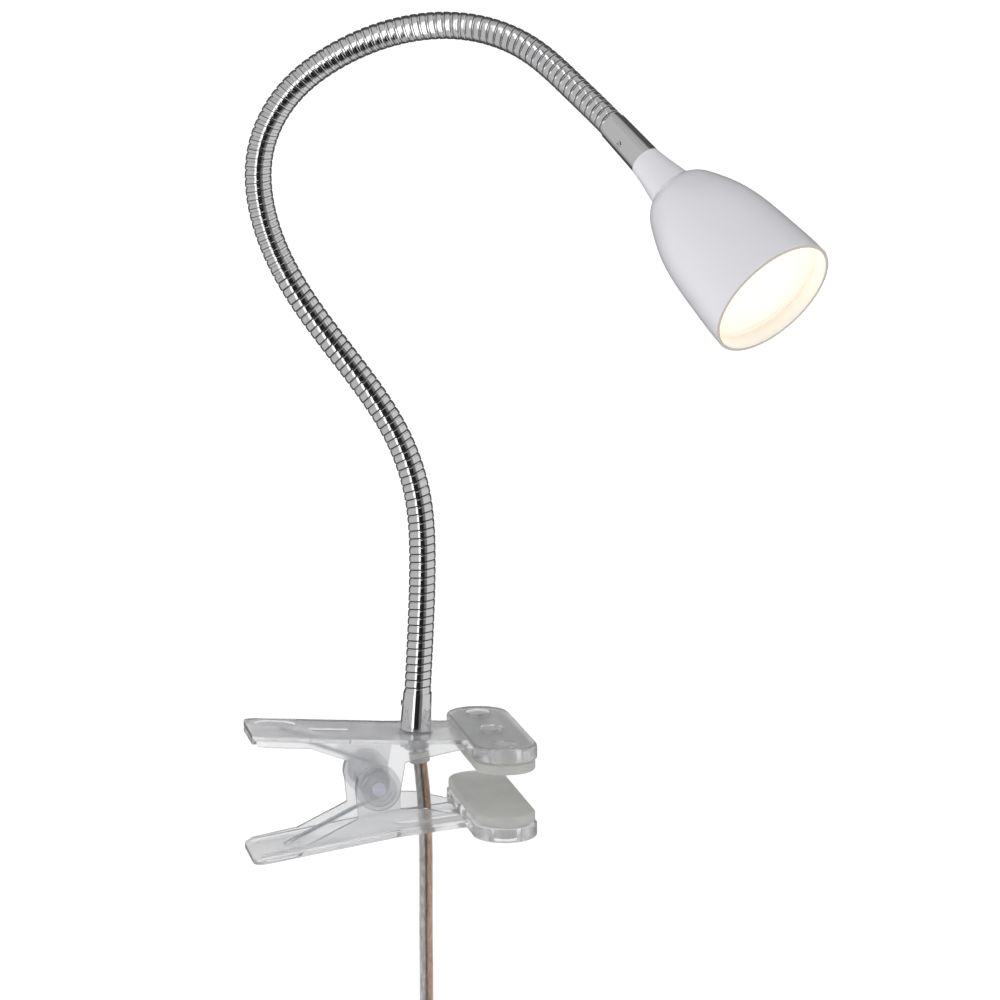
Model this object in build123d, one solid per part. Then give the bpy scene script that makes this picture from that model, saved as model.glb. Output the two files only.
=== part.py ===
"""Clip-on reading lamp: a spring clamp, a flexible metal neck and a bell shade.

Millimetres, +Z up. The origin is the middle of the upper jaw's pad, where it
rests on the top of a board; +X runs from the handles to the pads, and the
viewer's side of the clamp is -Y.
"""

import math
import os

from build123d import *

# ---- driving dimensions ------------------------------------------------------
BOARD = 18.0  # thickness of the board that the jaws hold at rest
PAD = 5.5  # each pad's height below its plate
PLATE = 6.0  # height of the plate that carries a pad
PLATE_LENGTH = 88.0  # across the clamp, along Y
PLATE_WIDTH = 28.0
PEG_RADIUS = 5.25
PEG_PITCH = 31.0
WALL = 2.2  # jaw skin
PANEL_DEPTH = 0.4
JAW_WIDTH = 38.6
LUG_RADIUS = 9.8
PIVOT = (-53.0, 0.0, -9.0)
PIN_RADIUS = 3.0
RUNNING = 0.05  # radial clearance of a turning fit
HANDLE_END = -107.0
ARM_FRONT = -13.0

NECK_FOOT = (-33.6, 0.0, 11.8)  # where the lower ferrule stands on the jaw
NECK_LEAN = 3.6  # degrees towards the pads
NECK_RADIUS = 5.75
NECK_BORE = 3.6
BALL_RADIUS = 5.2
BALL_SHANK = 5.0
BALL_BORE = 3.4
SOCKET_RADIUS = 5.35
SOCKET_STOP = 2.5  # socket rim, short of the joint's centre
BALL_STEP = 1.5  # where the full tube starts past the centre
NECK_TIP = 14.0  # how far the neck reaches into the upper ferrule
LEAD_RADIUS = 1.8
LEAD_GAP = 5.8  # bare stretch of the lead's sleeve at each joint

FERRULE_TOP = 6.15
FERRULE_FOOT = 6.75
LOWER_FERRULE = 17.0
UPPER_FERRULE = 22.5
STUD_RADIUS = 4.0

STEM = 19.7
SHADE_LENGTH = 66.5
SHADE_RADIUS = 27.9
SHADE_WALL = 1.5
DIFFUSER_RECESS = 7.5
DIFFUSER = 1.5

SPRING_RADIUS = 6.0
SPRING_WIRE = 0.9
SPRING_PITCH = 2.0

CORD_RADIUS = 3.0
COIL_RADIUS = 33.0
COIL_DEPTH = 12.8
COIL_BUILD = 12.0
COIL_CENTRE = (-39.7, 3.1, -234.4)

# the neck's centre line: start, then the middle and the end of each length
NECK_LINE = [
    (-33.3, 0.0, 16.0),
    (-31.4, 0.0, 51.0),
    (-30.2, 0.2, 85.0),
    (-31.7, 1.2, 113.0),
    (-39.3, 4.7, 139.0),
    (-53.0, 10.0, 162.5),
    (-69.3, 15.7, 185.0),
    (-84.7, 19.8, 209.0),
    (-95.0, 21.5, 235.5),
    (-96.2, 20.2, 262.5),
    (-85.5, 16.2, 286.0),
    (-64.5, 9.5, 303.7),
    (-39.3, 0.5, 314.2),
    (-13.5, -10.8, 316.3),
    (9.8, -24.8, 308.3),
    (26.2, -40.85, 293.0),
    (40.0, -58.5, 277.0),
]

# the cord's route from under the ferrule, past the switch, to the coil
CORD_ROUTE = [
    (-32.2, 0.0, 2.2),
    (-31.0, 0.0, -7.0),
    (-29.9, 0.0, -19.0),
    (-29.2, 0.1, -33.0),
    (-29.0, 0.3, -52.0),
    (-29.2, 0.2, -76.0),
    (-29.0, 0.0, -101.0),
    (-29.1, 0.0, -126.0),
    (-29.0, 0.0, -156.0),
    (-29.05, 0.0, -185.1),
    (-26.1, 0.0, -195.0),
    (-20.5, 0.0, -203.5),
    (-12.6, 0.0, -210.1),
]
TAIL_ROUTE = [
    (-3.7, 6.2, -234.4),
    (-3.5, 6.1, -249.0),
    (-3.8, 5.6, -264.0),
]
SWITCH_AT = (-29.05, 0.0, -150.0)
SWITCH_LENGTH = 58.0
SWITCH_WIDTH = 25.0
SWITCH_HALF_DEPTH = 9.0
ROCKER_TILT = 8.0
ROCKER_DEPTH = 1.1  # the axle's depth below the switch's face
ROCKER_AXLE = 0.7
PLUG_BODY = 34.0

pieces = {}


def keep(name, shape):
    """Files one piece under the name of its node."""
    shape.label = name
    pieces[name] = shape


def at(x, y, z=0.0):
    return Pos(x, y, z)


def rod(start, end, radius):
    """A round bar between two points."""
    start, end = Vector(*start), Vector(*end)
    run = end - start
    plane = Plane(origin=start, z_dir=run)
    bar = Cylinder(radius, run.length, align=(Align.CENTER, Align.CENTER, Align.MIN))
    return plane.location * bar


def across(radius, y_low, y_high, x, z):
    """A round bar along Y."""
    return rod((x, y_low, z), (x, y_high, z), radius)


def frustum(r_low, r_high, height):
    return Cone(r_low, r_high, height, align=(Align.CENTER, Align.CENTER, Align.MIN))


def drum(radius, height):
    return Cylinder(radius, height, align=(Align.CENTER, Align.CENTER, Align.MIN))


def stadium(width, length, z_low, z_high):
    """A plate with round ends, long along Y."""
    sketch = SlotOverall(length, width, rotation=90)
    return at(0, 0, z_low) * extrude(sketch, z_high - z_low)


def side_plate(outline, y_low, y_high):
    """An outline in X and Z, given thickness along Y."""
    face = make_face(Polyline(*[(x, 0, z) for x, z in outline], close=True))
    return at(0, y_high, 0) * extrude(face, y_high - y_low, dir=(0, -1, 0))


FOOT = Location(NECK_FOOT, (0, NECK_LEAN, 0))

# ---- jaws --------------------------------------------------------------------
def pad_plate(z_low):
    """The stadium plate of the upper jaw, with its three peg holes."""
    plate = stadium(PLATE_WIDTH, PLATE_LENGTH, z_low, z_low + PLATE)
    plate = fillet(plate.edges().group_by(Axis.Z)[-1], 1.4)
    for row in (-1, 0, 1):
        plate -= at(0, row * PEG_PITCH, z_low + PLATE / 2) * Cylinder(PEG_RADIUS, 2 * PLATE)
    return plate


def upper_line(x):
    """Height of the upper jaw's outside at x."""
    if x > -45.0:
        return 12.1 + (x + 45.0) * (10.8 - 12.1) / 32.0
    return 12.1 + (x + 45.0) * (16.2 - 12.1) / -62.0


def lower_line(x):
    """Height of the lower jaw's outside at x."""
    if x > -45.0:
        return -30.9 + (x + 45.0) * (-27.8 + 30.9) / 32.0
    return -30.9 + (x + 45.0) * (-40.6 + 30.9) / -62.0


def skin(line, inward, x_low, x_high, half_width):
    """A jaw's broad skin, which follows its line; inward is -1 below, 1 above."""
    outside = [(x, line(x)) for x in (x_low, -45.0, x_high)]
    inside = [(x, z + inward * WALL) for x, z in reversed(outside)]
    return side_plate(outside + inside, -half_width, half_width)


def rounded_handle(x_low, half_width):
    """A tool that keeps a handle's end corners round, seen from above."""
    corner = 6.0
    sketch = at(x_low + 60, 0) * RectangleRounded(120, 2 * half_width, corner)
    return at(0, 0, -60) * extrude(sketch, 100)


def finger_panel(line):
    """A tool for the shallow panel under the finger, at a handle's end."""
    x = HANDLE_END + 13.0
    slope = math.degrees(math.atan((line(HANDLE_END) - line(x)) / (x - HANDLE_END)))
    sketch = RectangleRounded(18.0, JAW_WIDTH - 8.0, 7.0)
    return Location((x, 0, line(x)), (0, slope, 0)) * extrude(sketch, PANEL_DEPTH, both=True)


def lug(y_low, y_high):
    return across(LUG_RADIUS, y_low, y_high, PIVOT[0], PIVOT[2])


def upper_wall(y_low, y_high):
    """One side wall of the upper jaw, with its lug."""
    outline = [
        (HANDLE_END, upper_line(HANDLE_END) - 0.4),
        (-45.0, upper_line(-45.0) - 0.4),
        (ARM_FRONT, upper_line(ARM_FRONT) - 0.4),
        (ARM_FRONT, 7.3),
        (-41.3, 2.0),
        (PIVOT[0] + LUG_RADIUS, PIVOT[2]),
        (PIVOT[0] - 8.6, PIVOT[2] + 4.6),
        (-66.6, 4.0),
        (-82.8, 10.1),
        (HANDLE_END, 11.7),
    ]
    return side_plate(outline, y_low, y_high) + lug(y_low, y_high)


def upper_jaw():
    half = JAW_WIDTH / 2
    jaw = skin(upper_line, -1, HANDLE_END, ARM_FRONT, half)
    jaw += upper_wall(-half, -half + 2.0)
    jaw += upper_wall(half - 2.0, half)
    jaw = jaw & rounded_handle(HANDLE_END, half)
    lip_height = upper_line(HANDLE_END) - 11.7
    lip = at(HANDLE_END + 1.0, 0, 11.7 + lip_height / 2 - 0.3)
    jaw += lip * Box(2.0, JAW_WIDTH - 12.0, lip_height - 0.6)
    jaw += FOOT * at(0, 0, -3.0) * drum(7.8, 3.0)
    jaw += pad_plate(PAD)
    jaw -= FOOT * at(0, 0, -4.0) * drum(STUD_RADIUS + 0.15, 8)
    jaw -= at(-71.8, 0, 13) * extrude(SlotOverall(18.0, 3.2), 8, both=True)
    jaw -= finger_panel(upper_line)
    jaw -= across(PIN_RADIUS + RUNNING, -half - 1, half + 1, PIVOT[0], PIVOT[2])
    return jaw


def lower_wall(y_low, y_high):
    """One side wall of the lower jaw, with its lug."""
    outline = [
        (HANDLE_END + 3, lower_line(HANDLE_END + 3) + 0.4),
        (-45.0, lower_line(-45.0) + 0.4),
        (ARM_FRONT, lower_line(ARM_FRONT) + 0.4),
        (ARM_FRONT, -24.2),
        (-31.7, -19.5),
        (PIVOT[0] + LUG_RADIUS, -19.0),
        (PIVOT[0] + LUG_RADIUS, PIVOT[2]),
        (PIVOT[0] - LUG_RADIUS, PIVOT[2]),
        (-61.5, -22.5),
        (-83.6, -33.2),
        (HANDLE_END + 3, -36.9),
    ]
    return side_plate(outline, y_low, y_high) + lug(y_low, y_high)


def lower_jaw():
    half = JAW_WIDTH / 2
    inner = half - 2.0 - 0.5  # the lower lugs turn inside the upper ones
    jaw = skin(lower_line, 1, HANDLE_END, ARM_FRONT, half)
    jaw += lower_wall(-inner, -inner + 2.0)
    jaw += lower_wall(inner - 2.0, inner)
    jaw = jaw & rounded_handle(HANDLE_END, half)
    jaw += mirror(pad_plate(PAD), Plane.XY.offset(-BOARD / 2))
    jaw -= finger_panel(lower_line)
    jaw -= at(-25.5, 0, -27) * extrude(SlotOverall(36.0, 10.4), 10, both=True)
    jaw -= across(PIN_RADIUS + RUNNING, -half, half, PIVOT[0], PIVOT[2])
    return jaw


def upper_pad():
    """Soft pad: a broad foot, a waist under the plate and three pegs above."""
    pad = stadium(PLATE_WIDTH - 1.6, PLATE_LENGTH - 1.6, 0.0, 4.2)
    pad = fillet(pad.edges().group_by(Axis.Z)[0], 1.2)
    pad += stadium(PLATE_WIDTH - 4.4, PLATE_LENGTH - 4.4, 4.0, PAD - 0.02)
    peg_top = PAD + PLATE - 0.4
    for row in (-1, 0, 1):
        peg = at(0, row * PEG_PITCH, 5) * drum(PEG_RADIUS - 0.1, peg_top - 5)
        pad += fillet(peg.edges().group_by(Axis.Z)[-1], 0.8)
    return pad


def lower_pad():
    return mirror(upper_pad(), Plane.XY.offset(-BOARD / 2))


# ---- pivot and spring ----------------------------------------------------------
def pivot_pin():
    reach = JAW_WIDTH / 2 + 0.5
    return across(PIN_RADIUS, -reach, reach, PIVOT[0], PIVOT[2])


def pivot_cap(side):
    """A stepped round cap on one end of the pin."""
    face = side * JAW_WIDTH / 2
    steps = [(7.5, 0.05, 1.4), (5.2, 1.3, 2.2)]
    cap = None
    for radius, low, high in steps:
        disc = across(radius, face + side * low, face + side * high, PIVOT[0], PIVOT[2])
        cap = disc if cap is None else cap + disc
    hole = across(
        PIN_RADIUS, face - side * 2, face + side * 0.5, PIVOT[0], PIVOT[2]
    )
    return cap - hole


def torsion_spring():
    """A coil round the pin with a leg to each handle."""
    low_angle, high_angle, turns = -63.8, 68.5, 6
    sweep_angle = 360.0 * turns + high_angle - low_angle
    height = SPRING_PITCH * sweep_angle / 360.0
    helix = Helix(SPRING_PITCH, height, SPRING_RADIUS)
    start = helix @ 0
    profile = Plane(origin=start, z_dir=helix % 0) * Circle(SPRING_WIRE)
    coil = sweep(profile, path=helix, is_frenet=True)
    # stand the helix along +Y about the pin, started where the lower leg leaves
    frame = Plane(
        origin=(PIVOT[0], -height / 2, PIVOT[2]),
        x_dir=(math.cos(math.radians(low_angle)), 0, math.sin(math.radians(low_angle))),
        z_dir=(0, 1, 0),
    )
    coil = frame.location * coil
    for angle, y, tip in (
        (low_angle, -height / 2, (-92.5, -35.0)),
        (high_angle, height / 2, (-92.0, 11.95)),
    ):
        x = PIVOT[0] + SPRING_RADIUS * math.cos(math.radians(angle))
        z = PIVOT[2] + SPRING_RADIUS * math.sin(math.radians(angle))
        coil += at(x, y, z) * Sphere(SPRING_WIRE)
        coil += rod((x, y, z), (tip[0], y, tip[1]), SPRING_WIRE)
    return coil


# ---- neck ----------------------------------------------------------------------
def neck_arc(index):
    """Centre line of one length of the neck, numbered from 1."""
    first = 2 * (index - 1)
    return ThreePointArc(*[Vector(*p) for p in NECK_LINE[first : first + 3]])


NECK_COUNT = (len(NECK_LINE) - 1) // 2


def ball_end():
    """The hollow ball at the start of a length, with its short shank."""
    foot = -math.sqrt(BALL_RADIUS**2 - BALL_BORE**2)
    shank = math.sqrt(BALL_RADIUS**2 - BALL_SHANK**2)
    round_side = ThreePointArc((BALL_BORE, 0, foot), (BALL_RADIUS, 0, 0), (BALL_SHANK, 0, shank))
    top = BALL_STEP + 1.0
    rest = Polyline(
        (BALL_SHANK, 0, shank), (BALL_SHANK, 0, top), (BALL_BORE, 0, top), (BALL_BORE, 0, foot)
    )
    return revolve(make_face(round_side + rest), Axis.Z)


def neck_length(index):
    """A hollow length with a ball at its lower end and a socket at its upper."""
    arc = neck_arc(index)
    low = 0.0 if index == 1 else BALL_STEP / arc.length
    high = 1.0 if index == NECK_COUNT else 1.0 - SOCKET_STOP / arc.length
    run = arc.trim(low, high)
    path = run
    if index == NECK_COUNT:
        path = Wire([run, Line(run @ 1, run @ 1 + (run % 1) * NECK_TIP)])
    ring = Circle(NECK_RADIUS) - Circle(NECK_BORE)
    tube = sweep(Plane(origin=run @ 0, z_dir=run % 0) * ring, path=path)
    if index > 1:
        tube += Plane(origin=arc @ 0, z_dir=arc % 0).location * ball_end()
    if index < NECK_COUNT:
        tube -= Plane(origin=arc @ 1, z_dir=arc % 1).location * Sphere(SOCKET_RADIUS)
    return tube


def neck_lead(index):
    """The lead's sleeve inside one length, short of the joints."""
    arc = neck_arc(index)
    share = LEAD_GAP / arc.length
    low = 0.0 if index == 1 else share
    high = 1.0 if index == NECK_COUNT else 1.0 - share
    run = arc.trim(low, high)
    return sweep(Plane(origin=run @ 0, z_dir=run % 0) * Circle(LEAD_RADIUS), path=run)


def lower_ferrule():
    """Tapered sleeve with a stud below, through the jaw's skin."""
    body = frustum(FERRULE_FOOT, FERRULE_TOP, LOWER_FERRULE)
    body = chamfer(body.edges().group_by(Axis.Z)[0], 0.4)
    body += at(0, 0, -8.6) * drum(STUD_RADIUS, 9.0)
    body -= at(0, 0, 4.0) * drum(NECK_RADIUS + 0.04, LOWER_FERRULE)
    body -= at(0, 0, -9) * drum(2.6, 20)
    body -= rod((-9, 0, 12.0), (0, 0, 12.0), 1.3)
    return FOOT * body


def set_screw(height):
    """A headless screw that grips the neck through a ferrule's -X side."""
    screw = rod((-6.9, 0, height), (-NECK_RADIUS - 0.06, 0, height), 1.25)
    return screw - rod((-8.0, 0, height), (-6.4, 0, height), 0.6)


def clamp_washer():
    washer = drum(7.4, 0.8) - drum(STUD_RADIUS + 0.1, 0.8)
    return FOOT * at(0, 0, -3.8) * washer


def clamp_nut():
    sketch = RegularPolygon(6.4, 6) - Circle(STUD_RADIUS)
    return FOOT * at(0, 0, -7.3) * extrude(sketch, 3.5)


def cord_bush():
    """A soft sleeve that grips the cord where it leaves the stud."""
    top, below = Vector(*CORD_ROUTE[0]), Vector(*CORD_ROUTE[1])
    down = (below - top).normalized()
    sleeve = rod(top, top + down * 4.5, 4.4)
    return sleeve - rod(top - down, top + down * 5, CORD_RADIUS)


# ---- head ----------------------------------------------------------------------
HEAD_AXIS = neck_arc(NECK_COUNT) % 1
HEAD = Plane(origin=NECK_LINE[-1], x_dir=(0.8, 0.6, 0.0), z_dir=HEAD_AXIS).location
STEM_AT = UPPER_FERRULE
SHADE_AT = UPPER_FERRULE + STEM


def upper_ferrule():
    body = frustum(FERRULE_TOP, FERRULE_FOOT, UPPER_FERRULE)
    body += at(0, 0, UPPER_FERRULE - 0.2) * drum(STUD_RADIUS, 8.2)
    body -= drum(NECK_RADIUS + 0.04, 16.0)
    body -= drum(2.4, 60)
    body -= rod((-9, 0, 11.0), (0, 0, 11.0), 1.3)
    return HEAD * body


def turned(points, smooth):
    """A solid of revolution from an outline of (radius, height) points.

    smooth is how many of the first points make the curved outside.
    """
    curve = Spline(*[(r, 0, z) for r, z in points[:smooth]])
    rest = Polyline(*[(r, 0, z) for r, z in points[smooth - 1 :] + points[:1]])
    return revolve(make_face(curve + rest), Axis.Z)


def head_stem():
    """The white cone between the ferrule and the shade."""
    body = turned(
        [(FERRULE_FOOT, 0), (7.5, 6.0), (8.7, 13.0), (9.9, STEM), (0, STEM), (0, 0)], 4
    )
    body -= at(0, 0, 8.0) * drum(6.6, STEM)
    body -= drum(STUD_RADIUS + 0.05, 20)
    return HEAD * at(0, 0, STEM_AT) * body


def stem_nut():
    sketch = RegularPolygon(5.8, 6) - Circle(STUD_RADIUS)
    return HEAD * at(0, 0, STEM_AT + 8.05) * extrude(sketch, 0 + 1.9)


SHADE_OUTSIDE = [
    (11.0, 0.0),
    (14.6, 3.2),
    (18.2, 9.5),
    (22.0, 19.0),
    (24.9, 31.5),
    (26.5, 46.0),
    (27.6, 59.0),
    (SHADE_RADIUS, SHADE_LENGTH),
]


def shade():
    """The bell: a thin shell with a seat for the stem at its crown."""
    outer = turned(SHADE_OUTSIDE + [(0, SHADE_LENGTH), (0, 0)], len(SHADE_OUTSIDE))
    inside = [(r - SHADE_WALL, z + 0.6 * SHADE_WALL) for r, z in SHADE_OUTSIDE[:-1]]
    inside += [(SHADE_RADIUS - SHADE_WALL, SHADE_LENGTH + 1)]
    inner = turned(inside + [(0, SHADE_LENGTH + 1), (0, 0.6 * SHADE_WALL)], len(inside))
    shell = outer - at(0, 0, 1.0) * inner
    rim = shell.edges().group_by(Axis.Z)[-1]
    shell = fillet(rim, 0.5)
    shell -= drum(6.6, 10)
    return HEAD * at(0, 0, SHADE_AT) * shell


def diffuser():
    front = SHADE_LENGTH - DIFFUSER_RECESS
    return HEAD * at(0, 0, SHADE_AT + front - DIFFUSER) * drum(25.2, DIFFUSER)


def diffuser_ring():
    front = SHADE_LENGTH - DIFFUSER_RECESS
    ring = drum(25.6, 1.2) - drum(23.9, 1.2)
    return HEAD * at(0, 0, SHADE_AT + front + 0.05) * ring


def reflector():
    """White cone that throws the light forward onto the diffuser."""
    cone = frustum(19.6, 24.6, 10.0) - at(0, 0, -0.01) * frustum(18.6, 23.6, 10.02)
    return HEAD * at(0, 0, SHADE_AT + 47.3) * cone


def led_board():
    board = drum(18.3, 1.6) - drum(2.0, 2)
    for side in (-1, 1):
        board -= at(side * 13.0, 0, -1) * drum(1.3, 4)
    return HEAD * at(0, 0, SHADE_AT + 45.5) * board


def led_chips():
    """Six square emitters in a ring."""
    chips = []
    for place in range(6):
        spot = Rot(0, 0, 60.0 * place + 30.0) * at(9.5, 0, 0.4)
        chips.append(spot * Box(3.5, 3.5, 0.8))
    return HEAD * at(0, 0, SHADE_AT + 47.15) * Compound(children=chips)


def heat_sink():
    """Aluminium disc with short fins on its back."""
    sink = at(0, 0, 4.0) * drum(21.0, 2.5)
    for offset in (-15.0, -9.0, -3.0, 3.0, 9.0, 15.0):
        sink += at(0, offset, 2.2) * Box(24.0, 1.4, 4.4)
    for side in (-1, 1):
        sink -= at(side * 13.0, 0, 3) * drum(1.0, 4)
    sink -= drum(2.0, 10)
    return HEAD * at(0, 0, SHADE_AT + 38.95) * sink


def board_screws():
    screws = []
    for side in (-1, 1):
        shank = at(side * 13.0, 0, 41.0 + 2.1) * drum(0.95, 4.1)
        cap = at(side * 13.0, 0, 47.15) * drum(2.0, 1.1)
        slot = at(side * 13.0, 0, 48.2) * Box(3.0, 0.5, 0.8)
        screws.append(shank + at(side * 13.0, 0, 46.9) * drum(0.95, 0.5) + cap - slot)
    return HEAD * at(0, 0, SHADE_AT) * Compound(children=screws)


def driver_board():
    return HEAD * at(0, -4.0, SHADE_AT + 22.0) * Box(20.0, 1.6, 26.0)


def driver_parts():
    """A choke, a capacitor and a chip on the driver board."""
    tall = rod((-4.5, 1.45, 0), (-4.5, 1.45, 11.0), 3.4)
    choke = Box(6.0, 5.0, 7.0)
    chip = Box(5.0, 1.8, 4.0)
    group = [at(0, 0, -9.5) * tall, at(4.8, -0.65, -5.5) * choke, at(4.5, -2.25, 5.5) * chip]
    return HEAD * at(0, 0, SHADE_AT + 22.0) * Compound(children=group)


def lamp_leads():
    """Two wires from the driver board through the heat sink to the emitters."""
    wires = []
    for side in (-1, 1):
        path = FilletPolyline(
            (side * 7.5, -6.2, 30.0),
            (side * 7.5, -6.2, 36.2),
            (side * 3.0, -6.2, 36.8),
            (side * 0.95, 0.0, 37.6),
            (side * 0.95, 0.0, 46.9),
            radius=0.9,
        )
        section = Plane(origin=path @ 0, z_dir=path % 0) * Circle(0.6)
        wires.append(sweep(section, path=path))
    return HEAD * at(0, 0, SHADE_AT) * Compound(children=wires)


# ---- cord, switch and plug -------------------------------------------------------
def smooth_run(points):
    """Straight runs joined by the largest tangent arcs that they allow."""
    points = [Vector(*p) for p in points]
    radii = []
    for before, corner, after in zip(points, points[1:], points[2:]):
        come, go = corner - before, after - corner
        half_turn = math.radians(come.get_angle(go)) / 2
        radii.append(0.45 * min(come.length, go.length) / math.tan(half_turn))
    print("radii", [round(r) for r in radii])
    return FilletPolyline(*points, radius=radii)


def round_cord(points):
    path = smooth_run(points)
    section = Plane(origin=path @ 0, z_dir=path % 0) * Circle(CORD_RADIUS)
    tube = sweep(section, path=path)
    whole = math.pi * CORD_RADIUS**2 * path.length
    print("cord", round(path.length, 1), "volume share", round(tube.volume / whole, 4))
    return tube


def cord_coil():
    """The outer shape of the wound turns, standing in the XZ plane."""
    section = RectangleRounded(COIL_BUILD, COIL_DEPTH, 4.0)
    profile = at(COIL_RADIUS, 0, 0) * Rot(90, 0, 0) * section
    ring = revolve(profile, Axis.Z)
    return at(*COIL_CENTRE) * Rot(90, 0, 0) * ring


def coil_tie():
    """A band round the turns at the coil's top."""
    low, high = COIL_RADIUS - COIL_BUILD / 2, COIL_RADIUS + COIL_BUILD / 2
    outer = Box(8.0, COIL_DEPTH + 2.0, COIL_BUILD + 2.4)
    inner = Box(9.0, COIL_DEPTH + 0.1, COIL_BUILD + 1.2)
    band = outer - inner
    x, y, z = COIL_CENTRE
    return at(x, y, z + (low + high) / 2) * band


def switch_shell(side):
    """One half of the in-line switch; side -1 carries the rocker."""
    x, y, z = SWITCH_AT
    block = RectangleRounded(SWITCH_WIDTH, SWITCH_LENGTH, 8.0)
    body = extrude(block, SWITCH_HALF_DEPTH)
    body = fillet(body.edges().group_by(Axis.Z)[-1], 2.5)
    hollow = RectangleRounded(SWITCH_WIDTH - 4, SWITCH_LENGTH - 16, 4.0)
    body -= extrude(hollow, SWITCH_HALF_DEPTH - 2.0)
    if side < 0:
        body -= at(0, 0, SWITCH_HALF_DEPTH) * Box(9.6, 17.6, 8)
    half = Plane(origin=(x, y, z), x_dir=(1, 0, 0), z_dir=(0, side, 0)).location * body
    half = at(0, side * 0.02, 0) * half
    half -= rod((x, y, z - 40), (x, y, z + 40), CORD_RADIUS + 0.12)
    if side < 0:
        axle = y - SWITCH_HALF_DEPTH + ROCKER_DEPTH
        half -= rod((x - 6.2, axle, z), (x + 6.2, axle, z), ROCKER_AXLE + RUNNING)
    for spot, head in switch_screw_spots():
        half -= rod(spot, head + Vector(0, 1, 0), 1.65)
    return half


def switch_rocker():
    """The tilting key, shown pressed at its lower end, on its own axle."""
    x, y, z = SWITCH_AT
    key = Box(9.0, 4.6, 16.4)
    key = fillet(key.edges().filter_by(Axis.X), 1.6)
    key += rod((-6.0, 0, 0), (6.0, 0, 0), ROCKER_AXLE)
    return at(x, y - SWITCH_HALF_DEPTH + ROCKER_DEPTH, z) * Rot(ROCKER_TILT, 0, 0) * key


def switch_screw_spots():
    """Seat and head centre of each screw in the back of the switch."""
    x, y, z = SWITCH_AT
    back = y + SWITCH_HALF_DEPTH
    ends = (z - 24.5, z + 24.5)
    return [(Vector(x + 7.0, back - 0.9, e), Vector(x + 7.0, back + 0.2, e)) for e in ends]


def switch_screws():
    return Compound(children=[rod(seat, head, 1.6) for seat, head in switch_screw_spots()])


def plug_axis():
    return Vector(*TAIL_ROUTE[-1])


def plug_body():
    """Flat two-pin plug body hanging from the cord, narrow at the cord."""
    top = plug_axis()
    wide = RectangleRounded(35.0, 13.6, 5.5)
    narrow = RectangleRounded(13.0, 9.0, 4.0)
    body = loft([narrow, at(0, 0, 16.0) * RectangleRounded(27.0, 12.6, 5.0), at(0, 0, PLUG_BODY) * wide])
    down = Plane(origin=top, x_dir=(1, 0, 0), z_dir=(0, 0, -1)).location
    return down * body


def plug_pins():
    pins = []
    top = plug_axis()
    for side in (-1, 1):
        start = top + Vector(side * 9.3, 0, -PLUG_BODY)
        pin = rod(start, start + Vector(0, 0, -19.0), 2.0)
        pins.append(fillet(pin.edges().group_by(Axis.Z)[0], 1.0))
    return Compound(children=pins)


# ---- build -----------------------------------------------------------------------
keep("upper_jaw", upper_jaw())
keep("lower_jaw", lower_jaw())
keep("upper_pad", upper_pad())
keep("lower_pad", lower_pad())
keep("pivot_pin", pivot_pin())
keep("pivot_cap_front", pivot_cap(-1))
keep("pivot_cap_back", pivot_cap(1))
keep("torsion_spring", torsion_spring())
keep("lower_ferrule", lower_ferrule())
keep("lower_set_screw", FOOT * set_screw(12.0))
keep("clamp_washer", clamp_washer())
keep("clamp_nut", clamp_nut())
keep("cord_bush", cord_bush())
for number in range(1, NECK_COUNT + 1):
    keep(f"neck_{number}", neck_length(number))
    keep(f"neck_lead_{number}", neck_lead(number))
keep("upper_ferrule", upper_ferrule())
keep("upper_set_screw", HEAD * set_screw(11.0))
keep("head_stem", head_stem())
keep("stem_nut", stem_nut())
keep("shade", shade())
keep("diffuser", diffuser())
keep("diffuser_ring", diffuser_ring())
keep("reflector", reflector())
keep("led_board", led_board())
keep("led_chips", led_chips())
keep("heat_sink", heat_sink())
keep("board_screws", board_screws())
keep("driver_board", driver_board())
keep("driver_parts", driver_parts())
keep("lamp_leads", lamp_leads())
keep("power_cord", round_cord(CORD_ROUTE))
keep("cord_tail", round_cord(TAIL_ROUTE))
keep("cord_coil", cord_coil())
keep("coil_tie", coil_tie())
keep("switch_front", switch_shell(-1))
keep("switch_back", switch_shell(1))
keep("switch_rocker", switch_rocker())
keep("switch_screws", switch_screws())
keep("plug_body", plug_body())
keep("plug_pins", plug_pins())

os.makedirs("parts", exist_ok=True)
for name, shape in pieces.items():
    export_step(shape, f"parts/{name}.step")
print(len(pieces), "pieces")
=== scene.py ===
"""Looks for the clip-on reading lamp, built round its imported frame.

The axes are the frame's own: the origin is the middle of the upper pad's face,
+X runs from the handles to the pads and -Y faces the viewer. Sizes of the lamp
are in millimetres until a mesh is made; the camera and studio are in metres.
"""

import math

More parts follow.
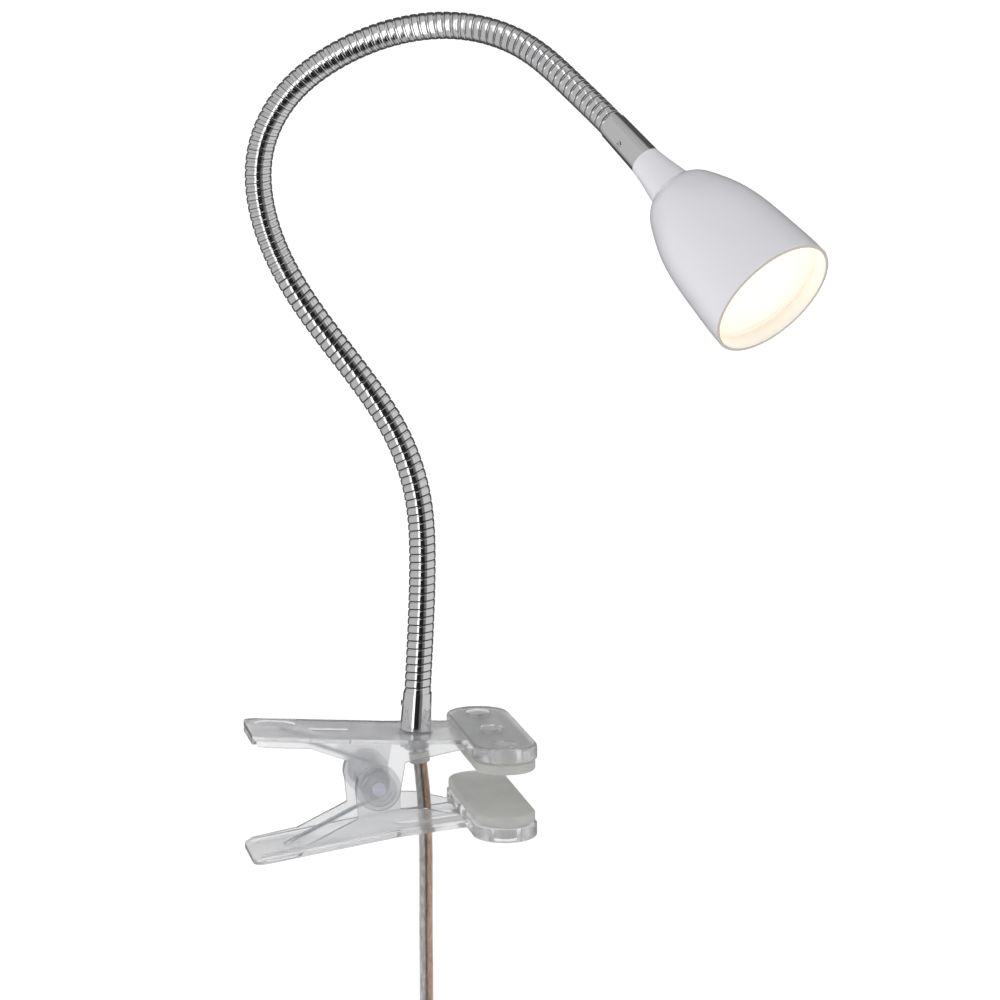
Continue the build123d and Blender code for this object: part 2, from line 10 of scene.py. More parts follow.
import bmesh
import bpy
import numpy as np
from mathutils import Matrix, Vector


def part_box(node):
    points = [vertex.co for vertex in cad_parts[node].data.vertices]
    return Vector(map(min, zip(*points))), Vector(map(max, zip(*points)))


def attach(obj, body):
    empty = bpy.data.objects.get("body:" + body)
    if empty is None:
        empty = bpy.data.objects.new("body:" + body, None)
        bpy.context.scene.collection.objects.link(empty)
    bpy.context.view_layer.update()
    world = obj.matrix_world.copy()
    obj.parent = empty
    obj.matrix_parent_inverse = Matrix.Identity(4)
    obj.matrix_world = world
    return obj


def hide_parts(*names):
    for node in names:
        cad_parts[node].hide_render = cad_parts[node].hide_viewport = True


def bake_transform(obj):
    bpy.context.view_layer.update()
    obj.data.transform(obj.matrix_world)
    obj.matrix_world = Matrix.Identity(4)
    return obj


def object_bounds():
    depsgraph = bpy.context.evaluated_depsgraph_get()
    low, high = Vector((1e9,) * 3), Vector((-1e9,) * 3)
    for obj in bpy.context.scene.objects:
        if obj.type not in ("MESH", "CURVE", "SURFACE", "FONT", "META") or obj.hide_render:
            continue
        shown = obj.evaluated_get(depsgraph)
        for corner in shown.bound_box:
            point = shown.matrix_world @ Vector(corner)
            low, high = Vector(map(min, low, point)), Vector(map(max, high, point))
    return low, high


MM = 0.001

# ---- the lamp, in millimetres, as in the frame ------------------------------------
NECK_LINE = [  # from the lower ferrule's foot to the upper ferrule
    (-33.3, 0.0, 16.0),
    (-31.4, 0.0, 51.0),
    (-30.2, 0.2, 85.0),
    (-31.7, 1.2, 113.0),
    (-39.3, 4.7, 139.0),
    (-53.0, 10.0, 162.5),
    (-69.3, 15.7, 185.0),
    (-84.7, 19.8, 209.0),
    (-95.0, 21.5, 235.5),
    (-96.2, 20.2, 262.5),
    (-85.5, 16.2, 286.0),
    (-64.5, 9.5, 303.7),
    (-39.3, 0.5, 314.2),
    (-13.5, -10.8, 316.3),
    (9.8, -24.8, 308.3),
    (26.2, -40.85, 293.0),
    (40.0, -58.5, 277.0),
]
HEAD_AXIS = Vector((0.452, -0.668, -0.592)).normalized()
NECK_TIP = 14.0  # the strip's end, inside the upper ferrule
PITCH = 3.45  # of the neck's wound strip
TURN_SAMPLES = 32
ROUND_SAMPLES = 48
GROOVE_END, GROOVE_START = 0.04, 0.93  # shares of the pitch painted dark in each groove, as painted shade

UPPER_FERRULE = 22.5
STEM = 19.7
DISC_RADIUS = 25.0
RIM_FROM = 66.2  # height over the shade's seat where the darker beige-grey rim colour starts
LIT_FROM = 30.0  # height over the shade's seat from which the inside wall carries the painted warm light of the disc

CORD_ROUTE = [  # from the ferrule's stud down to the coil
    (-32.2, 0.0, 2.2),
    (-31.0, 0.0, -7.0),
    (-29.9, 0.0, -19.0),
    (-29.2, 0.1, -33.0),
    (-29.0, 0.3, -52.0),
    (-29.2, 0.2, -76.0),
    (-29.0, 0.0, -101.0),
    (-29.1, 0.0, -126.0),
    (-29.0, 0.0, -156.0),
    (-29.05, 0.0, -185.1),
    (-26.1, 0.0, -195.0),
    (-20.5, 0.0, -203.5),
]
TAIL_ROUTE = [  # from the coil to the plug
    (-3.5, 6.1, -249.0),
    (-3.8, 5.6, -264.0),
]
COIL_CENTRE = (-39.7, 3.1, -234.4)
COIL_LAYERS = (36.8, 33.0, 29.2)  # radii
COIL_COLUMN = 3.1  # of each of the two columns, from the middle
COIL_START = 50.0  # degrees up from +X, where the cord comes in
COIL_LADDER = ((0, -1), (1, -1), (2, -1), (2, 1), (1, 1), (0, 1), (0, 1))  # layer, column
COIL_SPACING = 16  # route points in a turn
CORD_WIDE = 6.1
CORD_THICK = 3.7
CORE_RADIUS = 1.25
TWIST_START, TWIST_END = 118.0, 178.0  # the cord's quarter twist, hidden in the switch

PIVOT = (-53.0, -9.0)  # x, z
SPRING_RADIUS = 6.0
SPRING_WIRE = 0.9  # radius
SPRING_PITCH = 2.0
SPRING_TURNS = 6
SPRING_ANGLES = (-63.8, 68.5)  # degrees, where the legs leave the coil
SPRING_TIPS = ((-92.5, -35.0), (-92.0, 11.95))  # x, z of the legs' ends

# ---- camera and studio, in metres and degrees ---------------------------------------
CAMERA_PLACE = (-0.3172, -1.6058, 0.3911)
CAMERA_HEADING = 11.31
CAMERA_PITCH = -9.67
CAMERA_LENS = 138.2
LIGHT_TARGET = (0, 0, 0.1)
LIGHT_SIZE = 1.6
TENT = [  # share of the way round, level; 0.5 is the -Y side, and then towards +X
    (0.00, 0.08),
    (0.10, 0.10),
    (0.14, 0.62),
    (0.385, 0.62),
    (0.390, 2.0),
    (0.425, 2.0),
    (0.432, 0.02),
    (0.525, 0.02),
    (0.535, 0.16),
    (0.585, 0.24),
    (0.60, 0.76),
    (0.80, 0.76),
    (0.84, 0.10),
    (1.00, 0.08),
]

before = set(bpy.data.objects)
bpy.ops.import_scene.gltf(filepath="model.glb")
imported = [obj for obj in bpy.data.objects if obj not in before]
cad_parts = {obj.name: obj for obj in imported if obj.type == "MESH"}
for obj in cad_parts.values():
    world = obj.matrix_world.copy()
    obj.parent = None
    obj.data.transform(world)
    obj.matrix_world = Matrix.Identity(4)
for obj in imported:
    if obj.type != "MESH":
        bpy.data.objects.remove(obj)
cad_low, cad_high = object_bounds()


# ---- materials --------------------------------------------------------------------
def add_node(tree, kind, **values):
    """A shader node: capitalised values are inputs, with _ for spaces, others are settings."""
    node = tree.nodes.new("ShaderNode" + kind)
    for key, value in values.items():
        if key[0].isupper():
            node.inputs[key.replace("_", " ")].default_value = value
        else:
            setattr(node, key, value)
    return node


def set_ramp(ramp, stops):
    """Stops are (position, colour) pairs, in order."""
    elements = ramp.color_ramp.elements
    while len(elements) < len(stops):
        elements.new(0.5)
    for element, (position, color) in zip(elements, stops):
        element.position = position
        element.color = (*color, 1)


def surface(made, name):
    """An input of the material's Principled shader."""
    return made.node_tree.nodes["Principled BSDF"].inputs[name]


def material(name, color, roughness, **values):
    """A Principled material; extra values name its inputs, with _ for spaces."""
    made = bpy.data.materials.new(name)
    made.use_nodes = True
    surface(made, "Base Color").default_value = (*color, 1)
    surface(made, "Roughness").default_value = roughness
    for key, value in values.items():
        surface(made, key.replace("_", " ")).default_value = value
    return made


def noise(made, scale, detail=3.0, stretch=(1, 1, 1)):
    """A noise texture in object coordinates; returns its factor output."""
    tree = made.node_tree
    place = add_node(tree, "TexCoord")
    mapping = add_node(tree, "Mapping", Scale=stretch)
    texture = add_node(tree, "TexNoise", Scale=scale, Detail=detail)
    tree.links.new(place.outputs["Object"], mapping.inputs["Vector"])
    tree.links.new(mapping.outputs["Vector"], texture.inputs["Vector"])
    return texture.outputs["Fac"]


def vary_color(made, factor, low, high):
    """The base colour runs from low to high with a factor."""
    ramp = add_node(made.node_tree, "ValToRGB")
    set_ramp(ramp, [(0.3, low), (0.7, high)])
    made.node_tree.links.new(factor, ramp.inputs["Fac"])
    made.node_tree.links.new(ramp.outputs["Color"], surface(made, "Base Color"))


def vary_roughness(made, factor, low, high):
    spread = add_node(
        made.node_tree, "MapRange", From_Min=0.3, From_Max=0.7, To_Min=low, To_Max=high
    )
    made.node_tree.links.new(factor, spread.inputs["Value"])
    made.node_tree.links.new(spread.outputs["Result"], surface(made, "Roughness"))


def bump(made, factor, height, strength):
    relief = add_node(made.node_tree, "Bump", Distance=height, Strength=strength)
    made.node_tree.links.new(factor, relief.inputs["Height"])
    made.node_tree.links.new(relief.outputs["Normal"], surface(made, "Normal"))


def emit(made, color, strength):
    surface(made, "Emission Color").default_value = (*color, 1)
    surface(made, "Emission Strength").default_value = strength


def clear_plastic():
    """Injection-moulded clear plastic, a little cloudy."""
    color = (0.94, 0.942, 0.952)
    made = material("clear_plastic", color, 0.15, Transmission_Weight=0.82, IOR=1.45)
    vary_roughness(made, noise(made, 60, 4), 0.05, 0.2)
    vary_color(made, noise(made, 45, 5), tuple(0.94 * c for c in color), color)
    return made


def frosted_plastic_painted_glow():
    """Milky plastic with a faint painted glow that stands in for the light it would pass on from
    round it.
    """
    made = material("frosted_plastic_painted_glow", (0.80, 0.80, 0.88), 0.35)
    # painted glow: emission in place of the light that would shine through the pin's plastic
    emit(made, (0.93, 0.93, 1.0), 0.2)
    vary_color(made, noise(made, 120), (0.68, 0.68, 0.75), (0.76, 0.76, 0.83))
    return made


def pad_rubber():
    """Soft translucent rubber, with a faint painted glow that brightens it under the clear
    plastic.
    """
    made = material("pad_rubber", (0.8, 0.8, 0.78), 0.5, Transmission_Weight=0.6, IOR=1.4)
    # painted glow: emission in place of the light that falls through the clear plastic onto the
    # pads
    emit(made, (0.97, 1.0, 0.97), 0.05)
    vary_color(made, noise(made, 90), (0.62, 0.62, 0.60), (0.70, 0.70, 0.68))
    bump(made, noise(made, 1500, 2), 0.00006, 0.4)
    return made


def chrome(name="chrome", color=(0.72, 0.72, 0.73), roughness=0.07):
    made = material(name, color, roughness, Metallic=1.0)
    vary_roughness(made, noise(made, 240), roughness * 0.7, roughness * 1.6)
    return made


def spring_steel():
    made = material("spring_steel", (0.66, 0.69, 0.74), 0.3, Metallic=1.0)
    vary_color(made, noise(made, 400), (0.56, 0.60, 0.66), (0.74, 0.76, 0.80))
    return made


def shade_lacquer(name="shade_lacquer", color=(0.82, 0.81, 0.85)):
    """White gloss paint with a faint orange peel."""
    made = material(name, color, 0.22, Coat_Weight=0.5, Coat_Roughness=0.06)
    bump(made, noise(made, 500, 1), 0.00004, 0.25)
    return made


def glowing(name, color, strength, base):
    made = material(name, base, 0.5)
    emit(made, color, strength)
    vary_color(made, noise(made, 300), base, tuple(0.97 * c for c in base))
    return made


def lit_disc():
    """Opal disc, lit from behind, a little warmer towards its edge."""
    made = glowing("opal_diffuser", (1.0, 0.98, 0.9), 0.72, (0.42, 0.41, 0.38))
    tree = made.node_tree
    low, high = (Vector(corner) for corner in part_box("diffuser"))
    place = add_node(tree, "TexCoord")
    reach = add_node(tree, "VectorMath", operation="DISTANCE")
    reach.inputs[1].default_value = (low + high) / 2
    spread = add_node(tree, "MapRange", From_Max=DISC_RADIUS * MM)
    ramp = add_node(tree, "ValToRGB")
    set_ramp(ramp, [(0.55, (1.0, 0.975, 0.89)), (1.0, (1.0, 0.90, 0.72))])
    tree.links.new(place.outputs["Object"], reach.inputs[0])
    tree.links.new(reach.outputs["Value"], spread.inputs["Value"])
    tree.links.new(spread.outputs["Result"], ramp.inputs["Fac"])
    tree.links.new(ramp.outputs["Color"], surface(made, "Emission Color"))
    return made


def satin(name, color, roughness=0.4):
    """Moulded plastic with a fine spark-eroded grain."""
    made = material(name, color, roughness)
    bump(made, noise(made, 900, 2), 0.00003, 0.5)
    vary_color(made, noise(made, 60), color, tuple(0.94 * c for c in color))
    return made


MATERIALS = {
    "clear": clear_plastic(),
    "frosted": frosted_plastic_painted_glow(),
    "rubber": pad_rubber(),
    "chrome": chrome(),
    "steel": spring_steel(),
    # dark steel for the faces in each groove of the neck's strip: painted shade in the grooves
    "groove_painted_shade": chrome("groove_painted_shade", (0.20, 0.20, 0.21), 0.35),
    "lacquer": shade_lacquer(),
    # the shade's inside wall and the diffuser's ring glow warm: painted light from the disc
    "lip": glowing("lip_painted_glow", (1.0, 0.84, 0.64), 0.2, (0.93, 0.90, 0.84)),
    # a darker beige-grey lacquer over the rim, from RIM_FROM
    "rim": shade_lacquer("rim_lacquer", (0.62, 0.56, 0.50)),
    "stem": shade_lacquer("stem_lacquer", (0.84, 0.835, 0.87)),
    "white": satin("white_plastic", (0.82, 0.82, 0.81), 0.35),
    "circuit": satin("circuit_board", (0.80, 0.81, 0.78), 0.45),
    "component": satin("component", (0.03, 0.03, 0.035), 0.35),
    "aluminium": chrome("cast_aluminium", (0.70, 0.71, 0.72), 0.3),
    "brass": chrome("nickel", (0.75, 0.74, 0.70), 0.15),
    "sleeve": satin("lead_sleeve", (0.78, 0.78, 0.77), 0.4),
    "lens": lit_disc(),
    "led": glowing("led_chip", (1.0, 0.85, 0.5), 2.0, (0.9, 0.8, 0.4)),
}


def paint(piece, key):
    piece.data.materials.clear()
    piece.data.materials.append(MATERIALS[key])
    return piece


# ---- mesh helpers -----------------------------------------------------------------
def new_piece(name, points, faces, key):
    mesh = bpy.data.meshes.new(name)
    mesh.from_pydata([tuple(p) for p in points], [], faces)
    mesh.validate()
    mesh.polygons.foreach_set("use_smooth", [True] * len(mesh.polygons))
    piece = bpy.data.objects.new(name, mesh)
    bpy.context.scene.collection.objects.link(piece)
    return paint(piece, key)


def smooth_line(points, step):
    """A natural cubic through points, sampled about every step."""
    p = np.array(points, float)
    t = run_along(p)
    h, n = np.diff(t), len(p)
    a, b = np.eye(n), np.zeros((n, 3))
    for i in range(1, n - 1):
        a[i, i - 1 : i + 2] = h[i - 1], 2 * (h[i - 1] + h[i]), h[i]
        b[i] = 6 * ((p[i + 1] - p[i]) / h[i] - (p[i] - p[i - 1]) / h[i - 1])
    m = np.linalg.solve(a, b)
    s = np.linspace(0, t[-1], int(t[-1] / step) + 1)
    i = np.clip(np.searchsorted(t, s, side="right") - 1, 0, n - 2)
    u, v, w = (s - t[i])[:, None], (t[i + 1] - s)[:, None], h[i][:, None]
    return (
        m[i] * v**3 / (6 * w)
        + m[i + 1] * u**3 / (6 * w)
        + (p[i] / w - m[i] * w / 6) * v
        + (p[i + 1] / w - m[i + 1] * w / 6) * u
    )


def run_along(line):
    """Distance along a line at each of its points."""
    return np.concatenate([[0], np.cumsum(np.linalg.norm(np.diff(line, axis=0), axis=1))])


def evenly(line, count):
    """The line again, as count evenly spaced points."""
    run = run_along(line)
    at = np.linspace(0, run[-1], count)
    return np.stack([np.interp(at, run, line[:, k]) for k in range(3)], axis=1)


def carried_frames(line, first):
    """Tangent, side and up along a line, carried on without twist."""
    tangent = np.gradient(line, axis=0)
    tangent /= np.linalg.norm(tangent, axis=1)[:, None]
    side = np.array(first, float)
    sides = []
    for t in tangent:
        side = side - (side @ t) * t
        side /= np.linalg.norm(side)
        sides.append(side)
    sides = np.array(sides)
    return tangent, sides, np.cross(tangent, sides)


def skin(name, line, section, side, up, key):
    """A capped skin: one closed section, (m, 2), set across each point of a line."""
    rings = line[:, None] + section[:, :1] * side[:, None] + section[:, 1:] * up[:, None]
    n, m = rings.shape[:2]
    faces = [
        (i * m + j, i * m + (j + 1) % m, (i + 1) * m + (j + 1) % m, (i + 1) * m + j)
        for i in range(n - 1)
        for j in range(m)
    ]
    faces += [tuple(range(m))[::-1], tuple(range((n - 1) * m, n * m))]
    return new_piece(name, rings.reshape(-1, 3), faces, key)


def circle(radius, count):
    angle = np.arange(count) * 2 * math.pi / count
    return radius * np.stack([np.cos(angle), np.sin(angle)], axis=1)


def lathe(name, outline, origin, axis, key, turns):
    """A surface of revolution: outline holds (radius, height) pairs."""
    axis = Vector(axis).normalized()
    side = axis.orthogonal().normalized()
    up = axis.cross(side)
    origin = Vector(origin)
    points = []
    for radius, height in outline:
        for k in range(turns):
            a = 2 * math.pi * k / turns
            spoke = side * math.cos(a) + up * math.sin(a)
            points.append(origin + axis * height + spoke * radius)
    faces = []
    for i in range(len(outline) - 1):
        for k in range(turns):
            n = (k + 1) % turns
            faces.append((i * turns + k, i * turns + n, (i + 1) * turns + n, (i + 1) * turns + k))
    piece = new_piece(name, points, faces, key)
    clean = bmesh.new()
    clean.from_mesh(piece.data)
    bmesh.ops.remove_doubles(clean, verts=clean.verts, dist=1e-7)
    bmesh.ops.recalc_face_normals(clean, faces=clean.faces)
    clean.to_mesh(piece.data)
    clean.free()
    return piece


def rounded(outline, steps):
    """A smooth curve through (radius, height) pairs."""
    flat = np.array([(r, z, 0.0) for r, z in outline])
    total = np.linalg.norm(np.diff(flat, axis=0), axis=1).sum()
    line = smooth_line(flat, total / (steps * len(outline)))
    return [(p[0], p[1]) for p in line]


# ---- camera and light ---------------------------------------------------------------
def make_camera():
    data = bpy.data.cameras.new("camera")
    data.lens = CAMERA_LENS
    data.sensor_width = 36.0
    data.clip_start, data.clip_end = 0.05, 50
    camera = bpy.data.objects.new("camera", data)
    camera.location = CAMERA_PLACE
    heading, pitch = math.radians(CAMERA_HEADING), math.radians(CAMERA_PITCH)
    look = Vector(
        (
            math.sin(heading) * math.cos(pitch),
            math.cos(heading) * math.cos(pitch),
            math.sin(pitch),
        )
    )
    camera.rotation_euler = look.to_track_quat("-Z", "Y").to_euler()
    bpy.context.scene.collection.objects.link(camera)
    bpy.context.scene.camera = camera
    bpy.context.scene.view_settings.view_transform = "Standard"


def area_light(name, place, power):
    """A square soft light, aimed at the lamp and not seen in its chrome."""
    data = bpy.data.lights.new(name, "AREA")
    data.energy, data.size = power, LIGHT_SIZE
    lamp = bpy.data.objects.new(name, data)
    lamp.location = place
    aim = Vector(LIGHT_TARGET) - Vector(place)
    lamp.rotation_euler = aim.to_track_quat("-Z", "Y").to_euler()
    lamp.visible_glossy = False
    bpy.context.scene.collection.objects.link(lamp)


def make_world():
    """A white studio: the tent lights the lamp, and the camera sees plain white."""
    world = bpy.data.worlds.new("studio")
    world.use_nodes = True
    bpy.context.scene.world = world
    tree = world.node_tree
    tree.nodes.clear()
    link = tree.links.new

    # the tent's level, by the direction round the horizon
    place = add_node(tree, "TexCoord")
    split = add_node(tree, "SeparateXYZ")
    minus = add_node(tree, "Math", operation="MULTIPLY")
    minus.inputs[1].default_value = -1.0
    angle = add_node(tree, "Math", operation="ARCTAN2")
    around = add_node(tree, "MapRange", From_Min=-math.pi, From_Max=math.pi)
    ramp = add_node(tree, "ValToRGB")
    set_ramp(ramp, [(share, (level, level, level)) for share, level in TENT])
    link(place.outputs["Generated"], split.inputs["Vector"])
    link(split.outputs["Y"], minus.inputs[0])
    link(split.outputs["X"], angle.inputs[0])
    link(minus.outputs["Value"], angle.inputs[1])
    link(angle.outputs["Value"], around.inputs["Value"])
    link(around.outputs["Result"], ramp.inputs["Fac"])

    # it fades to a plain grey straight up and straight down
    height = add_node(tree, "Math", operation="ABSOLUTE")
    fade = add_node(tree, "MapRange", From_Min=0.86, From_Max=1.0)
    plain = add_node(tree, "Mix", data_type="RGBA", B=(0.5, 0.5, 0.5, 1))
    link(split.outputs["Z"], height.inputs[0])
    link(height.outputs["Value"], fade.inputs["Value"])
    link(fade.outputs["Result"], plain.inputs["Factor"])
    link(ramp.outputs["Color"], plain.inputs["A"])

    tent = add_node(tree, "Background")
    seen = add_node(tree, "Background", Color=(1, 1, 1, 1))
    path = add_node(tree, "LightPath")
    mix = add_node(tree, "MixShader")
    out = add_node(tree, "OutputWorld")
    link(plain.outputs["Result"], tent.inputs["Color"])
    link(path.outputs["Is Camera Ray"], mix.inputs["Fac"])
    link(tent.outputs["Background"], mix.inputs[1])
    link(seen.outputs["Background"], mix.inputs[2])
    link(mix.outputs["Shader"], out.inputs["Surface"])


def make_floor():
    """A pale floor that sweeps up behind into a backdrop."""
    low = cad_low.z - 0.03
    front, back, sweep, rise, half_width, steps = -4.0, 2.2, 1.2, 4.0, 6.0, 12
    outline = [(front, low), (back, low)]
    for k in range(1, steps + 1):
        a = k / steps * math.pi / 2
        outline.append((back + sweep * math.sin(a), low + sweep * (1 - math.cos(a))))
    outline.append((back + sweep, low + rise))
    points = [(x, y, z) for y, z in outline for x in (-half_width, half_width)]
    faces = [(2 * i, 2 * i + 1, 2 * i + 3, 2 * i + 2) for i in range(len(outline) - 1)]
    MATERIALS["backdrop"] = material("backdrop", (0.75, 0.75, 0.75), 0.9)
    emit(MATERIALS["backdrop"], (1, 1, 1), 0.5)
    floor = new_piece("backdrop", points, faces, "backdrop")
    floor.visible_glossy = False


# ---- cord -----------------------------------------------------------------------
def ease(share):
    """0 to 1 with a level start and end, held at both outside."""
    share = np.clip(share, 0, 1)
    return share * share * (3 - 2 * share)


def coil_points():
    """The cord's turns: inwards in the front column, outwards in the back one."""
    points = []
    x0, y0, z0 = COIL_CENTRE
    turns = len(COIL_LADDER) - 1
    sweep = 360 * turns + COIL_START
    total = round(COIL_SPACING * sweep / 360)
    step_from = 0.75  # of a turn: the cord stays on a layer, then steps to the next
    for k in range(total + 1):
        turned = sweep * k / total
        layer = min(int(turned / 360), turns - 1)
        part = turned / 360 - layer
        (l0, c0), (l1, c1) = COIL_LADDER[layer], COIL_LADDER[layer + 1]
        f = ease((part - step_from) / (1 - step_from))
        radius = COIL_LAYERS[l0] * (1 - f) + COIL_LAYERS[l1] * f
        column = COIL_COLUMN * (c0 * (1 - f) + c1 * f)
        a = math.radians(COIL_START - turned)
        points.append((x0 + radius * math.cos(a), y0 + column, z0 + radius * math.sin(a)))
    return points


def cord_line():
    """The cord's own line: one NURBS spline through route, coil and tail."""
    route = CORD_ROUTE + coil_points() + TAIL_ROUTE
    curve = bpy.data.curves.new("cord_line", "CURVE")
    curve.dimensions = "3D"
    curve.resolution_u = 12
    spline = curve.splines.new("NURBS")
    spline.points.add(len(route) - 1)
    for point, (x, y, z) in zip(spline.points, route):
        point.co = (x * MM, y * MM, z * MM, 1)
    spline.order_u = 3
    spline.use_endpoint_u = True
    holder = bpy.data.objects.new("cord_line", curve)
    bpy.context.scene.collection.objects.link(holder)
    mesh = bpy.data.meshes.new_from_object(holder)
    line = np.array([v.co for v in mesh.vertices], float)
    bpy.data.objects.remove(holder)
    bpy.data.meshes.remove(mesh)
    return line


def cord_frames(line):
    """Across the width and the thickness: the width is X where it hangs, Y in the coil."""
    tangent = np.gradient(line, axis=0)
    tangent /= np.linalg.norm(tangent, axis=1)[:, None]
    turned = ease((run_along(line) / MM - TWIST_START) / (TWIST_END - TWIST_START))
    wide = []
    for t, share in zip(tangent, turned):
        across = np.cross((0, 1, 0), t)
        across /= np.linalg.norm(across)
        along_y = np.cross(t, across)
        a = share * math.pi / 2
        wide.append(across * math.cos(a) + along_y * math.sin(a))
    wide = np.array(wide)
    return wide, np.cross(tangent, wide)


def cord_skin(name, line, section, key, shift=0.0):
    """A skin of one section along the cord; shift moves it across the width."""
    wide, flat = cord_frames(line)
    return skin(name, line + wide * shift, section, wide, flat, key)


def twin_section():
    """Two round cores side by side in one sheath, with a shallow groove between."""
    half = CORD_WIDE / 2 - CORD_THICK / 2
    groove, groove_width = 0.10, 0.5
    points = []
    for x, y in circle(CORD_THICK / 2, 28):
        if abs(x) > 1e-9:
            x += math.copysign(half, x)
        y *= 1 - groove * math.exp(-((x / groove_width) ** 2))
        points.append((x * MM, y * MM))
    return np.array(points)


def sheath_material():
    """Clear soft sheath."""
    made = material(
        "cord_sheath", (0.90, 0.88, 0.86), 0.12, Transmission_Weight=0.92, IOR=1.3
    )
    vary_roughness(made, noise(made, 200), 0.08, 0.2)
    return made


def strand_material(name, color):
    """Fine bare strands under the sheath."""
    made = material(name, color, 0.35, Metallic=0.9)
    vary_color(made, noise(made, 900, 2, (1, 1, 0.3)), tuple(0.55 * c for c in color), color)
    return made


def make_cord():
    line = cord_line()
    MATERIALS["sheath"] = sheath_material()
    MATERIALS["tinned"] = strand_material("tinned_strands", (0.62, 0.62, 0.64))
    MATERIALS["copper"] = strand_material("copper_strands", (0.62, 0.40, 0.26))
    sheath = cord_skin("cord_sheath", line, twin_section(), "sheath")
    offset = (CORD_WIDE - CORD_THICK) / 2 * MM
    core = circle(CORE_RADIUS * MM, 12)
    cores = [
        cord_skin("cord_core_tinned", line, core, "tinned", offset),
        cord_skin("cord_core_copper", line, core, "copper", -offset),
    ]
    for piece in (sheath, *cores):
        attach(piece, "upper_jaw")
    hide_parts("power_cord", "cord_coil", "cord_tail")
    return line, sheath, cores


# ---- neck -----------------------------------------------------------------------
def strip_profile():
    """Radius of the wound strip at each sample of one turn."""
    knots = [  # share of the pitch, radius
        (0.00, 5.20),
        (0.05, 5.34),
        (0.07, 5.70),
        (0.10, 5.745),
        (0.50, 5.76),
        (0.74, 5.74),
        (0.77, 5.56),
        (0.91, 5.54),
        (0.94, 5.30),
        (1.00, 5.20),
    ]
    share, radius = zip(*knots)
    return np.interp(np.arange(TURN_SAMPLES) / TURN_SAMPLES, share, radius)


def strip_points(line, side, up, rows):
    """Points of the helical strip: a spoke's share of a turn moves it on along the line."""
    profile = strip_profile()
    points = []
    for row in rows:
        for spoke in range(ROUND_SAMPLES):
            where = row + TURN_SAMPLES * spoke / ROUND_SAMPLES
            low = min(int(where), len(line) - 2)
            f = min(where - low, 1.0)
            centre = line[low] * (1 - f) + line[low + 1] * f
            s = side[low] * (1 - f) + side[low + 1] * f
            u = up[low] * (1 - f) + up[low + 1] * f
            a = 2 * math.pi * spoke / ROUND_SAMPLES
            radius = profile[row % TURN_SAMPLES]
            points.append((centre + radius * (math.cos(a) * s + math.sin(a) * u)) * MM)
    return points


def strip_faces(rows):
    """Faces between the strip's points; the last spoke joins the first, one turn on."""
    faces = []
    for row in range(rows):
        for spoke in range(ROUND_SAMPLES):
            here = row * ROUND_SAMPLES + spoke
            there = here + 1 if spoke < ROUND_SAMPLES - 1 else (row + TURN_SAMPLES) * ROUND_SAMPLES
            faces.append((here, there, there + ROUND_SAMPLES, here + ROUND_SAMPLES))
    return faces


def drop_loose_points(mesh):
    clean = bmesh.new()
    clean.from_mesh(mesh)
    loose = [v for v in clean.verts if not v.link_faces]
    bmesh.ops.delete(clean, geom=loose, context="VERTS")
    clean.to_mesh(mesh)
    clean.free()


def make_neck():
    """The wound strip, in pieces that each run across one seat of the neck."""
    tip = Vector(NECK_LINE[-1]) + HEAD_AXIS * NECK_TIP
    line = smooth_line([*NECK_LINE, tuple(tip)], 0.4)
    rows = int(run_along(line)[-1] / PITCH) * TURN_SAMPLES
    line = evenly(line, rows + 1)
    _, side, up = carried_frames(line, (0, 1, 0))

    def row_near(point):
        return int(np.argmin(np.linalg.norm(line - point, axis=1)))

    mids = [row_near(np.array(NECK_LINE[2 * k + 1])) for k in range(8)]
    edges = [0, *mids[1:-1], rows - TURN_SAMPLES]
    for k in range(7):
        first, stop = edges[k], edges[k + 1]
        points = strip_points(line, side, up, range(first, stop + TURN_SAMPLES + 1))
        name = f"neck_strip_{k + 1}"
        piece = new_piece(name, points, strip_faces(stop - first), "chrome")
        piece.data.materials.append(MATERIALS["groove_painted_shade"])
        # the faces in each groove take the painted shade
        for face in piece.data.polygons:
            share = (face.index // ROUND_SAMPLES % TURN_SAMPLES) / TURN_SAMPLES
            face.material_index = int(share < GROOVE_END or share > GROOVE_START)
        drop_loose_points(piece.data)
        piece.data.set_sharp_from_angle(angle=math.radians(25))
        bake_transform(piece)
        if k == 0:
            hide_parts("neck_1", "neck_2")
        else:
            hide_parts(f"neck_{k + 2}")


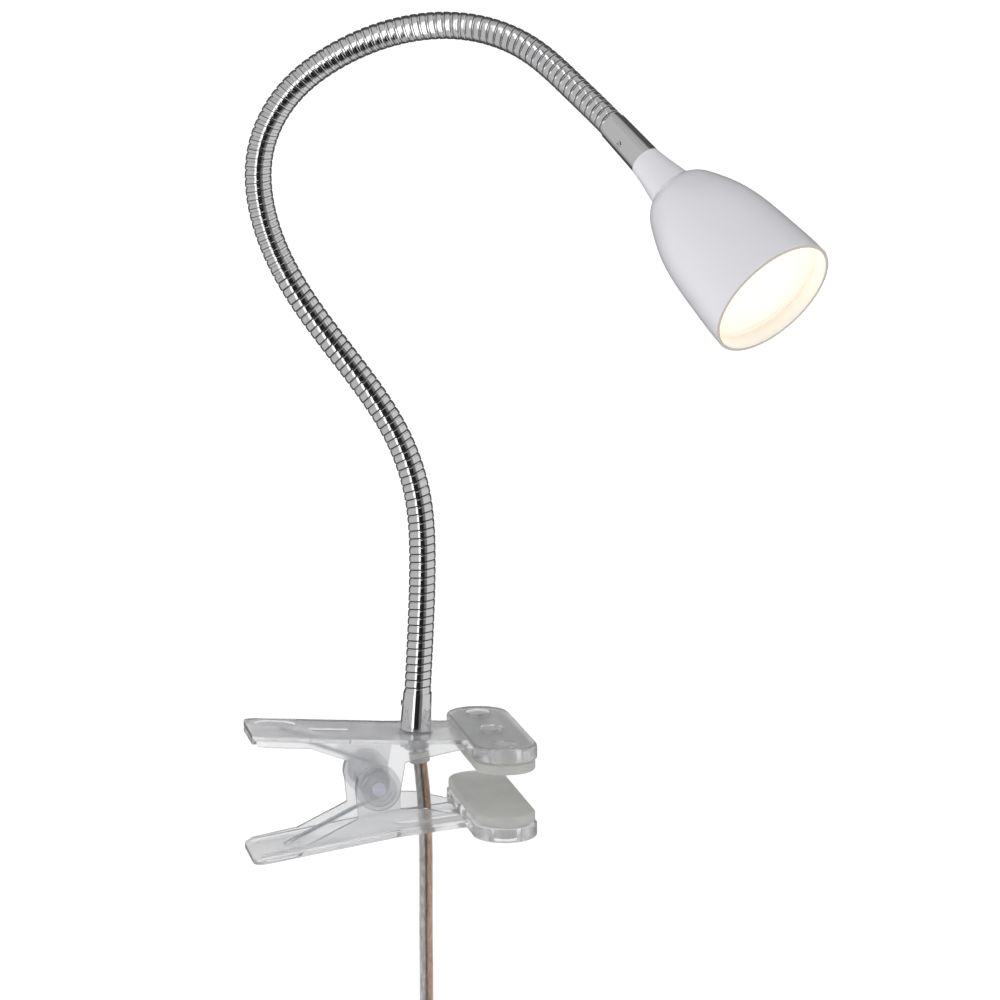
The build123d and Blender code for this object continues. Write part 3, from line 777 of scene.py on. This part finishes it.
# ---- head -----------------------------------------------------------------------
def make_head():
    """Lathe-turned shade, finer than the frame's own faces."""
    seat = Vector(NECK_LINE[-1]) + HEAD_AXIS * (UPPER_FERRULE + STEM)
    outside = rounded(
        [
            (11.0, 0.0),
            (14.6, 3.2),
            (18.2, 9.5),
            (22.0, 19.0),
            (24.9, 31.5),
            (26.5, 46.0),
            (27.6, 59.0),
            (27.9, 66.1),
        ],
        8,
    )
    rim = [(27.75, 66.4), (27.4, 66.5), (26.9, 66.5), (26.55, 66.3)]
    wall, set_back = 1.45, 0.9
    inside = [(r - wall, z + set_back) for r, z in reversed(outside[1:-3])]
    seat_outside = [(6.6, 0.0), (10.4, -0.05)]
    seat_inside = [(10.0, 1.3), (6.6, 1.3), (6.6, 0.0)]
    outline = seat_outside + outside + rim + inside + seat_inside
    shell = lathe(
        "shade_shell",
        [(r * MM, z * MM) for r, z in outline],
        seat * MM,
        HEAD_AXIS,
        "lacquer",
        160,
    )
    shell.data.materials.append(MATERIALS["lip"])
    shell.data.materials.append(MATERIALS["rim"])
    lit, bare = 1, 2
    for face in shell.data.polygons:
        radial = Vector(face.center) - seat * MM
        height = radial.dot(HEAD_AXIS)
        inward = face.normal.dot(radial - HEAD_AXIS * height) < 0
        # slot 2, named bare, is only the darker beige-grey rim colour
        if height > RIM_FROM * MM:
            face.material_index = bare
        # inward faces past LIT_FROM take the painted warm light
        elif inward and height > LIT_FROM * MM:
            face.material_index = lit
    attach(shell, "neck_8")
    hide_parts("shade")


# ---- spring ---------------------------------------------------------------------
def make_spring():
    """Wound wire round the pin with a leg to each handle."""
    low, high = SPRING_ANGLES
    sweep = 360.0 * SPRING_TURNS + high - low
    rise = SPRING_PITCH * sweep / 360
    x0, z0 = PIVOT
    steps = 24 * SPRING_TURNS
    coil = []
    for k in range(steps + 1):
        a = math.radians(low + sweep * k / steps)
        x, z = x0 + SPRING_RADIUS * math.cos(a), z0 + SPRING_RADIUS * math.sin(a)
        coil.append((x, -rise / 2 + rise * k / steps, z))
    coil = np.array(coil)
    (low_x, low_z), (high_x, high_z) = SPRING_TIPS
    along = np.linspace(0, 0.98, 12)[:, None]
    low_leg = np.array((low_x, -rise / 2, low_z)) * (1 - along) + coil[0] * along
    high_leg = np.array((high_x, rise / 2, high_z)) * (1 - along) + coil[-1] * along
    line = np.concatenate([low_leg, coil, high_leg[::-1]]) * MM
    _, side, up = carried_frames(line, (0, 1, 0))
    piece = skin("spring_wire", line, circle(SPRING_WIRE * MM, 14), side, up, "steel")
    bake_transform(piece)
    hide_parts("torsion_spring")


# ---- everything else keeps its CAD shape -------------------------------------------
CAD_LOOKS = {
    "clear": ["upper_jaw", "lower_jaw", "pivot_cap_front", "pivot_cap_back"],
    "frosted": ["pivot_pin"],
    "rubber": ["upper_pad", "lower_pad", "cord_bush"],
    "chrome": ["lower_ferrule", "upper_ferrule"],
    "steel": [
        "lower_set_screw",
        "upper_set_screw",
        "clamp_washer",
        "clamp_nut",
        "stem_nut",
        "board_screws",
        "switch_screws",
    ],
    "stem": ["head_stem"],
    "white": [
        "reflector",
        "coil_tie",
        "switch_front",
        "switch_back",
        "switch_rocker",
        "plug_body",
    ],
    "circuit": ["led_board", "driver_board"],
    "component": ["driver_parts"],
    "aluminium": ["heat_sink"],
    "brass": ["plug_pins"],
    "sleeve": ["lamp_leads"] + [f"neck_lead_{k}" for k in range(1, 9)],
    "lens": ["diffuser"],
    "lip": ["diffuser_ring"],
    "led": ["led_chips"],
}


def finish_cad_nodes():
    for key, names in CAD_LOOKS.items():
        for name in names:
            paint(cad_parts[name], key)


make_camera()
make_world()
make_floor()
cord_path, cord_piece, cord_cores = make_cord()
make_neck()
make_head()
make_spring()
finish_cad_nodes()
area_light("key", (-1.2, -1.6, 2.2), power=14)
area_light("fill", (1.8, -0.6, 1.4), power=6)
